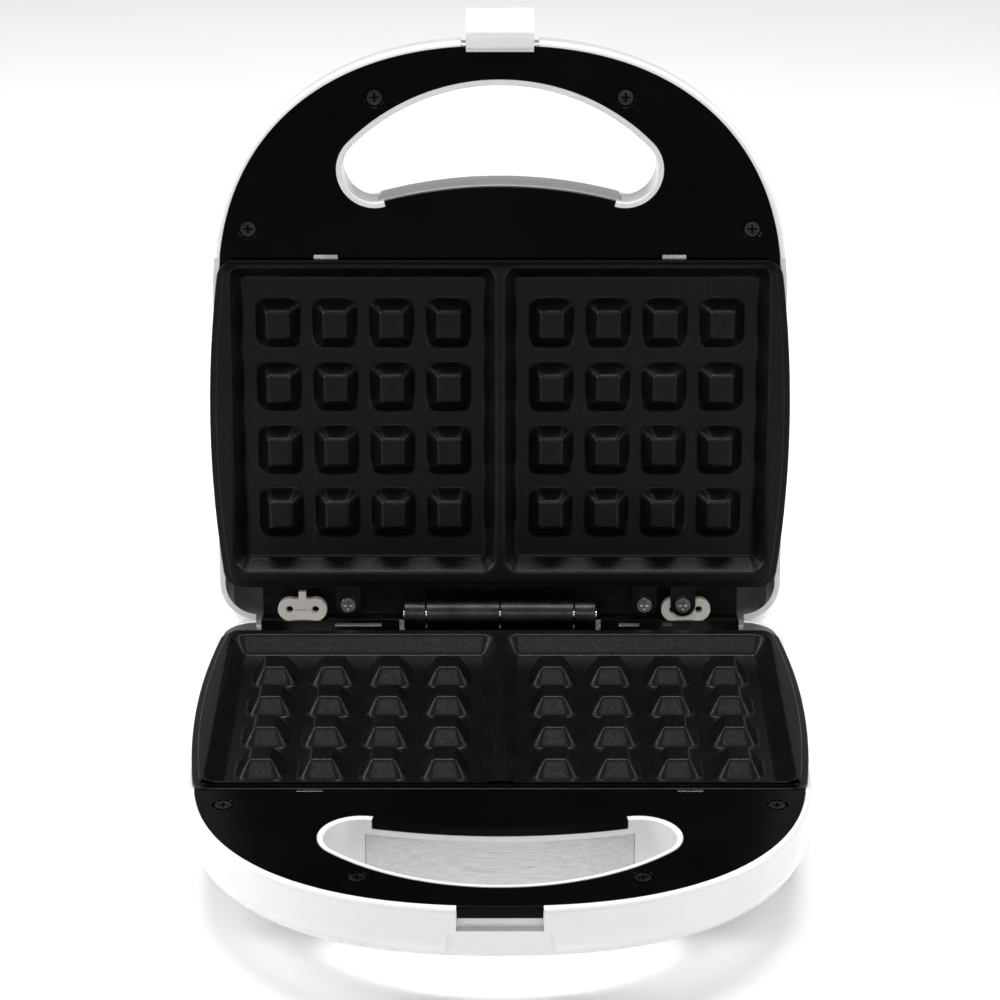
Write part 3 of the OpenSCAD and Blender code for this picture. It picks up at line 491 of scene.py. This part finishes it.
def handle_skin(name, grow, depth):
    profile = rounded(depth, *HANDLE_ROUND, 14)
    top = RIM_DROP + EDGE_R
    profile += [(d, 0) for d in spaced(depth - HANDLE_ROUND[1], top, 1.5)]
    if grow < 0:
        profile += [(top, 0), (0, 0)]
    else:
        turn = [math.pi / 2 * i / 8 for i in range(9)]
        profile += [
            (RIM_DROP + EDGE_R * (1 - math.sin(a)), -0.9 * EDGE_R * (1 - math.cos(a))) for a in turn
        ]
    return skin(name, [lift(case_outline(grow + g, rear_at(d)), -d) for d, g in profile])


def body_skin(name, grow, depth):
    profile = rounded(depth, BODY_ROUND, BODY_ROUND, 12)
    low = RIM_DROP + 4
    profile += [(d, 0) for d in spaced(depth - BODY_ROUND, low, 2.0)] + [(low, 0)]
    return skin(name, [lift(body_outline(grow + g, rear_at(d)), -d) for d, g in profile])


def grip_strip(name, half, near, far, low, high):
    """Strip along the back of the handle opening, between two distances behind its edge."""
    lean = math.degrees(math.asin(half / GRIP_BACK_R))
    front = arc(0, -GRIP_CENTRE, GRIP_BACK_R - near, 270 - lean, 270 + lean, 60)
    back = arc(0, -GRIP_CENTRE, GRIP_BACK_R - far, 270 + lean, 270 - lean, 60)
    return slab(name, front + back, low, high)


def casing(name):
    shell = join(handle_skin(name, 0, HANDLE_H), body_skin("b", 0, HALF_H))
    inner = take(
        handle_skin("i", -WALL, HANDLE_H - WALL),
        slab("g", grip_outline(WALL), -HANDLE_H - 1, -TRIM_DROP),
    )
    take(shell, inner, body_skin("f", -WALL, HALF_H - WALL))
    take(
        shell,
        block("s", (-HALF_W - 1, HALF_W + 1), (-STEP_V, REAR_REACH + 1), (-SIDE_DROP, 1)),
        block("r", (-REAR_OPEN_HALF, REAR_OPEN_HALF), (-PLATE_BACK, REAR_REACH + 1), (-REAR_DROP, 1)),
    )
    return shell


def grip_cut():
    """The handle opening with a small round along its upper edge."""
    r = 0.7
    turn = [math.pi / 2 * i / 5 for i in range(6)]
    rings = [lift(grip_outline(0), -HALF_H - 1), lift(grip_outline(0), -TRIM_DROP - r)]
    rings += [lift(grip_outline(r * (1 - math.cos(a))), -TRIM_DROP - r * (1 - math.sin(a))) for a in turn[1:]]
    rings.append(lift(grip_outline(r), 1))
    return skin("g", rings)


def open_grip(shell):
    take(
        shell,
        grip_cut(),
        grip_strip("t", FLANGE_HALF + FIT, -1, TRIM_INSET, -TRIM_DROP - FLANGE_H - PLATE_GAP, 1),
        grip_strip("p", INLAY_HALF + FIT, -1, INLAY_T + FIT / 2, -INLAY_END - FIT / 2, -INLAY_TOP + FIT / 2),
    )
    return shell


def make_base_casing():
    shell = casing("base_casing_shell")
    backing = block(
        "k",
        (-THUMB_LOW - THUMB_CHEEK, THUMB_LOW + THUMB_CHEEK),
        (-CASE_L + WALL - FIT, -BASE_POCKET_V + WALL),
        (-BACKING_H, -TRIM_DROP - TRIM_T),
    )
    join(shell, backing)
    face = (
        (-THUMB_LOW, -HANDLE_H - 1),
        (THUMB_LOW, -HANDLE_H - 1),
        (THUMB_TOP, -POCKET_END),
        (-THUMB_TOP, -POCKET_END),
    )
    thumb = skin("t", [[(x, y, z) for x, z in face] for y in (-CASE_L - 1, -CASE_L + THUMB_DEPTH)])
    pocket = block(
        "q", (-POCKET_HALF, POCKET_HALF), (-CASE_L - 1, -BASE_POCKET_V), (-POCKET_END, 1)
    )
    take(shell, pocket, thumb)
    open_grip(shell)
    return finish_piece(shell, "base", "white_casing", "base_casing", angle=28)


def make_lid_casing():
    shell = casing("lid_casing_shell")
    cheeks = block(
        "k",
        (-NOTCH_HALF - CHEEK_T, NOTCH_HALF + CHEEK_T),
        (-CASE_L + WALL - FIT, -LID_POCKET_V + WALL),
        (-HANDLE_H + WALL, -TRIM_DROP - TRIM_T),
    )
    join(shell, cheeks)
    take(shell, block("q", (-NOTCH_HALF, NOTCH_HALF), (-CASE_L - 1, -LID_POCKET_V), (-LID_POCKET_END, 1)))
    for side in (-1, 1):
        take(shell, slab("l", disc(side * LAMP_U, -LAMP_V, LENS_R + LENS_GAP), -HALF_H - 1, -HALF_H + 4))
    open_grip(shell)
    return finish_piece(shell, "lid", "white_casing", "lid_casing", angle=28)


make_base_casing()
make_lid_casing()

# ---------- trims ----------


def make_trim(body, node):
    r = 0.45
    turn = [math.pi / 2 * i / 4 for i in range(5)]
    rings = [lift(trim_outline(0), -TRIM_DROP - TRIM_T)]
    rings += [lift(trim_outline(-r * (1 - math.cos(a))), -TRIM_DROP - r * (1 - math.sin(a))) for a in turn]
    trim = skin(f"{node}_cover", rings)
    hole = [lift(grip_outline(TRIM_INSET), -9), lift(grip_outline(TRIM_INSET), -TRIM_DROP - r)]
    hole += [
        lift(grip_outline(TRIM_INSET + r * (1 - math.cos(a))), -TRIM_DROP - r * (1 - math.sin(a)))
        for a in turn[1:]
    ]
    hole.append(lift(grip_outline(TRIM_INSET + r), 1))
    take(trim, skin("h", hole))
    flange = join(
        grip_strip("f", FLANGE_HALF, 0, TRIM_INSET + 1.5, -TRIM_DROP - TRIM_T, -TRIM_DROP),
        grip_strip("e", FLANGE_HALF, 0, FLANGE_T, -TRIM_DROP - FLANGE_H, -TRIM_DROP),
    )
    join(trim, soften(flange, 0.4, 3))
    for side in (-1, 1):
        for u, v in TRIM_SCREWS:
            steps = (
                (SINK_R, -TRIM_DROP - TRIM_T / 2),
                (SINK_R, -TRIM_DROP - SINK_BEVEL),
                (SINK_R + SINK_BEVEL, -TRIM_DROP),
                (SINK_R + SINK_BEVEL + 1, 1),
            )
            take(trim, skin("c", [lift(disc(side * u, -v, rim), z) for rim, z in steps]))
        take(
            trim,
            block(
                "k",
                (side * CLIP_U - CLIP_W / 2 - FIT, side * CLIP_U + CLIP_W / 2 + FIT),
                (-STEP_V - CLIP_T - 0.6, -STEP_V + 1),
                (-9, 1),
            ),
        )
    if body == "base":
        lip = block(
            "l",
            (FIT - POCKET_HALF, POCKET_HALF - FIT),
            (-CASE_L + TRIM_INSET, -BASE_POCKET_V - 1),
            (-TRIM_DROP - LIP_H, -TRIM_DROP - TRIM_T / 2),
        )
        join(trim, lip)
    return finish_piece(trim, body, "black_trim", node, angle=35)


make_trim("base", "base_trim")
make_trim("lid", "lid_trim")

# ---------- baking plates ----------


def soft_max(a, b, k):
    h = max(0.0, min(1.0, 0.5 + 0.5 * (a - b) / k))
    return b + (a - b) * h + k * h * (1 - h)


def soft_min(a, b, k):
    return -soft_max(-a, -b, k)


def box_distance(dx, dy, half_x, half_y, r, p=2.0):
    """Distance outside a rounded rectangle, negative inside."""
    x, y = dx - half_x + r, dy - half_y + r
    outside = (max(x, 0) ** p + max(y, 0) ** p) ** (1 / p)
    return outside + min(max(x, y), 0.0) - r


FLOOR_W = MOULD_HALF - RIDGE_W / 2 - 2 * MOULD_DRAFT
FLOOR_L = MOULD_FRONT - MOULD_BACK - 2 * MOULD_DRAFT
PITCH_U = (FLOOR_W - TIP_W - 2 * TIP_DRAFT - 2 * MARGIN_U) / (PYRAMIDS - 1)
PITCH_V = (FLOOR_L - TIP_L - 2 * TIP_DRAFT - 2 * MARGIN_V) / (PYRAMIDS - 1)
FIRST_U = RIDGE_W / 2 + MOULD_DRAFT + MARGIN_U + TIP_DRAFT + TIP_W / 2
FIRST_V = MOULD_BACK + MOULD_DRAFT + MARGIN_V + TIP_DRAFT + TIP_L / 2
MOULD_U = ((RIDGE_W / 2 + MOULD_HALF) / 2, (MOULD_HALF - RIDGE_W / 2) / 2)
MOULD_V = ((MOULD_BACK + MOULD_FRONT) / 2, (MOULD_FRONT - MOULD_BACK) / 2)
COLUMNS = [FIRST_U + i * PITCH_U for i in range(PYRAMIDS)]
ROWS = [FIRST_V + j * PITCH_V for j in range(PYRAMIDS)]


def nearest(value, places):
    return min(abs(value - at) for at in places)


def plate_height(u, v):
    """Height of a plate's baking face under the parting plane, u from the middle outwards."""
    u = abs(u)
    edge = box_distance(abs(u - MOULD_U[0]), abs(v - MOULD_V[0]), MOULD_U[1], MOULD_V[1], MOULD_CORNER)
    wall = edge * MOULD_DEPTH / MOULD_DRAFT
    ground = soft_min(soft_max(wall, -MOULD_DEPTH, 1.3), 0.0, 1.0)
    if edge > -MOULD_DRAFT:
        return ground
    side = box_distance(nearest(u, COLUMNS), nearest(v, ROWS), TIP_W / 2, TIP_L / 2, 1.6, 3.0)
    slope = (MOULD_DEPTH - TIP_DROP) / TIP_DRAFT
    cone = -TIP_DROP - side * slope
    return soft_max(ground, soft_min(cone, -TIP_DROP, 1.1), 0.9)


WALL_LINES = (-1.2, -0.7, -0.35, 0.0, 0.35, 0.7, 1.2, 1.9, 2.6, 3.3, 4.0, 4.5, 5.0, 5.5, 6.1, 6.8, 7.6, 8.6)
TIP_LINES = (-0.9, -0.45, 0.0, 0.4, 0.8, 1.2)
LEAST_SPACING = 0.22


def feature_lines(centres, half_tip, start, end):
    """Grid lines that follow the walls, foot, sides and top of each row of pyramids."""
    lines = set()
    for centre in centres:
        for side in (-1, 1):
            for o in TIP_LINES:
                lines.add(round(centre + side * (half_tip + o - 0.3), 3))
            for i in range(2, 7):
                lines.add(round(centre + side * (half_tip + TIP_DRAFT * i / 6), 3))
            lines.add(round(centre + side * (half_tip + TIP_DRAFT + 0.6), 3))
            lines.add(round(centre + side * (half_tip + TIP_DRAFT + 1.4), 3))
        lines.add(round(centre, 3))
    for edge, way in ((start, 1), (end, -1)):
        for o in WALL_LINES:
            lines.add(round(edge + way * o, 3))
    ordered = sorted(lines)
    kept = [ordered[0]]
    for at in ordered[1:]:
        if at - kept[-1] > LEAST_SPACING:
            kept.append(at)
    return kept


def make_plate(body, node):
    right = feature_lines(COLUMNS, TIP_W / 2, RIDGE_W / 2, MOULD_HALF)
    right = [u for u in right if u > 0.3]
    us = [-u for u in reversed(right)] + [0.0] + right
    vs = feature_lines(ROWS, TIP_L / 2, MOULD_BACK, MOULD_FRONT)
    bm = bmesh.new()
    grid = [[bm.verts.new((u, -v, plate_height(u, v) - PLATE_GAP)) for v in vs] for u in us]
    for a, b in zip(grid, grid[1:]):
        for i in range(len(vs) - 1):
            bm.faces.new((a[i], a[i + 1], b[i + 1], b[i]))
    rim = [row[0] for row in grid] + grid[-1][1:]
    rim += [row[-1] for row in reversed(grid[:-1])] + grid[0][-2:0:-1]
    for vert in rim:
        vert.co.z = -PLATE_GAP
    r = 0.55
    turn = [math.pi / 2 * i / 4 for i in range(5)]
    profile = [(-TIER_STEP - r * (1 - math.sin(a)), -PLATE_GAP - r * (1 - math.cos(a))) for a in turn]
    profile += [
        (-TIER_STEP, -TIER_DROP + 0.3),
        (-TIER_STEP + 0.1, -TIER_DROP + 0.1),
        (-TIER_STEP + 0.3, -TIER_DROP),
    ]
    profile += [(-r * (1 - math.sin(a)), -TIER_DROP - r * (1 - math.cos(a))) for a in turn]
    profile += [(0, -TIER_DROP - SKIRT_T + 0.2), (-0.2, -TIER_DROP - SKIRT_T), (-4, -TIER_DROP - SKIRT_T)]
    profile += [(-8.5, -PLATE_UNDER + 1), (-9.5, -PLATE_UNDER)]
    rows = [[bm.verts.new((x, y, z)) for x, y in plate_outline(g)] for g, z in profile]
    count = len(rows[0])
    for high, low in zip(rows, rows[1:]):
        for i in range(count):
            j = (i + 1) % count
            bm.faces.new((high[i], high[j], low[j], low[i]))
    bm.faces.new(rows[-1])
    loops = []
    for loop in (rim, rows[0]):
        for a, b in zip(loop, loop[1:] + loop[:1]):
            loops.append(bm.edges.get((a, b)) or bm.edges.new((a, b)))
    bmesh.ops.triangle_fill(bm, use_beauty=True, use_dissolve=False, edges=loops, normal=(0, 0, 1))
    plate = mesh_object(f"{node}_face", bm)
    return finish_piece(plate, body, "nonstick", node, angle=50)


make_plate("base", "lower_plate")
make_plate("lid", "upper_plate")

# ---------- latch ----------


def latch_outer(z):
    return CASE_L + LATCH_BULGE * math.sqrt(1 - ((z - LATCH_MID) / LATCH_SPAN) ** 2)


def make_latch():
    """The latch seen from its side, v forwards and h up from the parting plane, then given its width."""
    hook_top = TRIM_DROP + LIP_H + 0.5
    side = [(LATCH_FACE_V, -hook_top), (LATCH_FACE_V, 4.4)]
    side += arc(LATCH_EAR_V, LATCH_EAR_H, LATCH_EAR_R, -60, 60, 12)
    side += [(LATCH_FACE_V + 1, 12.6), (LATCH_FACE_V + 3, LATCH_TOP)]
    steps = 40
    levels = [LATCH_TOP - (LATCH_TOP + LATCH_END) * i / steps for i in range(steps + 1)]
    side += [(latch_outer(z), z) for z in levels]
    side += [(LATCH_FACE_V, -LATCH_END), (LATCH_FACE_V, -POCKET_END + 0.6)]
    side += [(LATCH_FACE_V - 2.3, -hook_top - 1.6), (LATCH_FACE_V - 2.3, -hook_top - 0.6)]
    for i, (v, h) in enumerate(side):
        if abs(h - LATCH_EAR_H) < LATCH_EAR_REACH and v < CASE_L:
            sag = math.sqrt(max(0.0, LATCH_EAR_R**2 - (h - LATCH_EAR_H) ** 2))
            side[i] = (min(v, LATCH_EAR_V - sag), h)
    half = LATCH_W / 2
    body = skin("latch_cover", [[(x, -v, -h) for v, h in side] for x in (-half, half)])
    spring_half, spring_r = SPRING_HALF + SPRING_ROOM, SPRING_R + SPRING_ROOM
    room = block(
        "spring_room",
        (-spring_half, spring_half),
        (-LATCH_EAR_V - spring_r, -LATCH_EAR_V + LATCH_EAR_R + 1),
        (-LATCH_EAR_H - spring_r, -LATCH_EAR_H + spring_r),
    )
    ring = disc(-LATCH_EAR_V, -LATCH_EAR_H, LATCH_BORE_R)
    bore = skin("pin_bore", [[(x, y, z) for y, z in ring] for x in (-half - 1, half + 1)])
    take(body, room, bore)
    soften(body, 1.1, 4, 40)
    return finish_piece(body, "latch", "white_casing", "latch", angle=35)


make_latch()

# ---------- dark lip behind the hinge: painted shade ---


def make_shade_lip(name, side):
    """Raised dark strip at the back of the base shield, a sheet standing in for the shade in the gap behind
    the hinge: painted shade. Its gaps show the pale casing behind it.

    Its top is relieved under the insulators, which hang over it when the lid is open.
    """
    x = sorted((side * LIP_NEAR, side * LIP_FAR))
    lip = block(name, x, (SHIELD_BACK - SHIELD_T, SHIELD_BACK), (LIP_LOW, LIP_HIGH))
    for spans, z in ((LIP_GAPS, LIP_GAP_Z), (LIP_RELIEFS, LIP_RELIEF_Z)):
        for start, end in spans:
            if x[0] < start and end < x[1]:
                take(lip, block("cut", (start, end), (SHIELD_BACK - 2, SHIELD_BACK + 1), z))
    soften(lip, 0.15)
    return finish_piece(lip, "base", "dark_sheet")


# dark sheets that stand in for the shade behind the hinge: painted shade
make_shade_lip("shade_lip_left", -1)
make_shade_lip("shade_lip_right", 1)

# ---------- lid panel ----------


def make_panel():
    """Brushed cover on the lid's outer face, with holes for the two lenses."""
    inset, r = BODY_ROUND + 1, 0.35
    turn = [math.pi / 2 * i / 4 for i in range(5)]
    rings = [lift(body_outline(-inset, REAR_REACH), -HALF_H)]
    for a in turn:
        outline = body_outline(-inset - r * (1 - math.cos(a)), REAR_REACH)
        rings.append(lift(outline, -HALF_H - PANEL_T + r * (1 - math.sin(a))))
    panel = skin("lid_panel_sheet", rings)
    for side in (-1, 1):
        hole = disc(side * LAMP_U, -LAMP_V, LENS_R + LENS_GAP)
        take(panel, slab("l", hole, -HALF_H - 3, -HALF_H + 1))
    return finish_piece(panel, "lid", "brushed_steel", "lid_panel", angle=35)


make_panel()

# ---------- kept CAD nodes ----------

KEPT = {
    "base_grip_inlay": ("brushed_steel", 0.15),
    "lid_grip_inlay": ("brushed_steel", 0.15),
    "rubber_feet": ("rubber", 0.6),
    "base_trim_screws": ("dark_screw", 0.18),
    "lid_trim_screws": ("dark_screw", 0.18),
    "lower_plate_clips": ("spring_steel", 0.2),
    "upper_plate_clips": ("spring_steel", 0.2),
    "lower_plate_screws": ("dark_screw", 0.18),
    "upper_plate_screws": ("dark_screw", 0.18),
    "lower_heating_element": ("heater_steel", 0.0),
    "upper_heating_element": ("heater_steel", 0.0),
    "lower_heat_shield": ("dark_sheet", 0.15),
    "upper_heat_shield": ("dark_sheet", 0.15),
    "lower_insulators": ("ceramic", 0.35),
    "upper_insulators": ("ceramic", 0.35),
    "thermostat": ("ceramic", 0.3),
    "thermal_fuse": ("brass", 0.3),
    "terminal_block": ("ceramic", 0.4),
    "cord_gland": ("black_trim", 0.4),
    "internal_leads": ("lead_sleeve", 0.0),
    "base_hinge_bracket": ("dark_bracket", 0.35),
    "lid_hinge_bracket": ("dark_bracket", 0.35),
    "base_bracket_screws": ("dark_screw", 0.18),
    "lid_bracket_screws": ("dark_screw", 0.18),
    "hinge_pin": ("spring_steel", 0.3),
    "plate_brackets": ("dark_bracket", 0.2),
    "plate_bracket_screws": ("spring_steel", 0.18),
    "power_lens": ("red_lens", 0.5),
    "ready_lens": ("green_lens", 0.5),
    "indicator_lamps": ("lamp_glass", 0.3),
    "latch_pin": ("spring_steel", 0.2),
    "latch_spring": ("spring_steel", 0.0),
}

for name, (slot, width) in KEPT.items():
    kept = frame["nodes"][name]
    kept.data.materials.clear()
    kept.data.materials.append(MATERIALS[slot])
    weld = kept.modifiers.new("weld", "WELD")
    weld.merge_threshold = 0.00001
    if width:
        bevel = kept.modifiers.new("bevel", "BEVEL")
        bevel.width = width * MM
        bevel.segments = 3
        bevel.limit_method = "ANGLE"
        bevel.angle_limit = math.radians(40)
    weighted = kept.modifiers.new("weighted", "WEIGHTED_NORMAL")
    weighted.keep_sharp = True

# ---------- floor and light ----------

floor_maker = Nodes("floor")
floor_maker.link(
    floor_maker.ramp(floor_maker.noise(3.0, 2.0), [(0.3, 0.93), (0.7, 0.95)]),
    floor_maker.shader.inputs["Base Color"],
)
floor_maker.set(Roughness=0.7, Specular_IOR_Level=0.1)
floor = block("floor", (-20.0, 20.0), (-20.0, 20.0), (-0.02, -0.0002))
floor.data.materials.append(floor_maker.material)


def area_light(name, place, aim, size, power_w):
    light = bpy.data.lights.new(name, "AREA")
    light.shape = "RECTANGLE"
    light.size, light.size_y = size
    light.energy = power_w
    lamp = bpy.data.objects.new(name, light)
    lamp.location = place
    lamp.rotation_euler = (Vector(aim) - Vector(place)).to_track_quat("-Z", "Y").to_euler()
    bpy.context.scene.collection.objects.link(lamp)


area_light("top", (0, 0.3, 1.9), (0, 0, 0.1), (1.2, 0.35), 25.0)
area_light("left", (-1.2, 0.0, 0.9), (0, 0, 0.12), (0.12, 1.0), 10.0)
area_light("right", (1.2, 0.0, 0.9), (0, 0, 0.12), (0.12, 1.0), 6.0)
area_light("front", (0, -2.0, 1.8), (0, 0, 0.1), (1.2, 0.3), 10.0)

world = bpy.data.worlds.new("studio")
world.use_nodes = True
world.node_tree.nodes["Background"].inputs["Color"].default_value = (1, 1, 1, 1)
world.node_tree.nodes["Background"].inputs["Strength"].default_value = 0.45
bpy.context.scene.world = world

bpy.context.scene.view_settings.view_transform = "Standard"
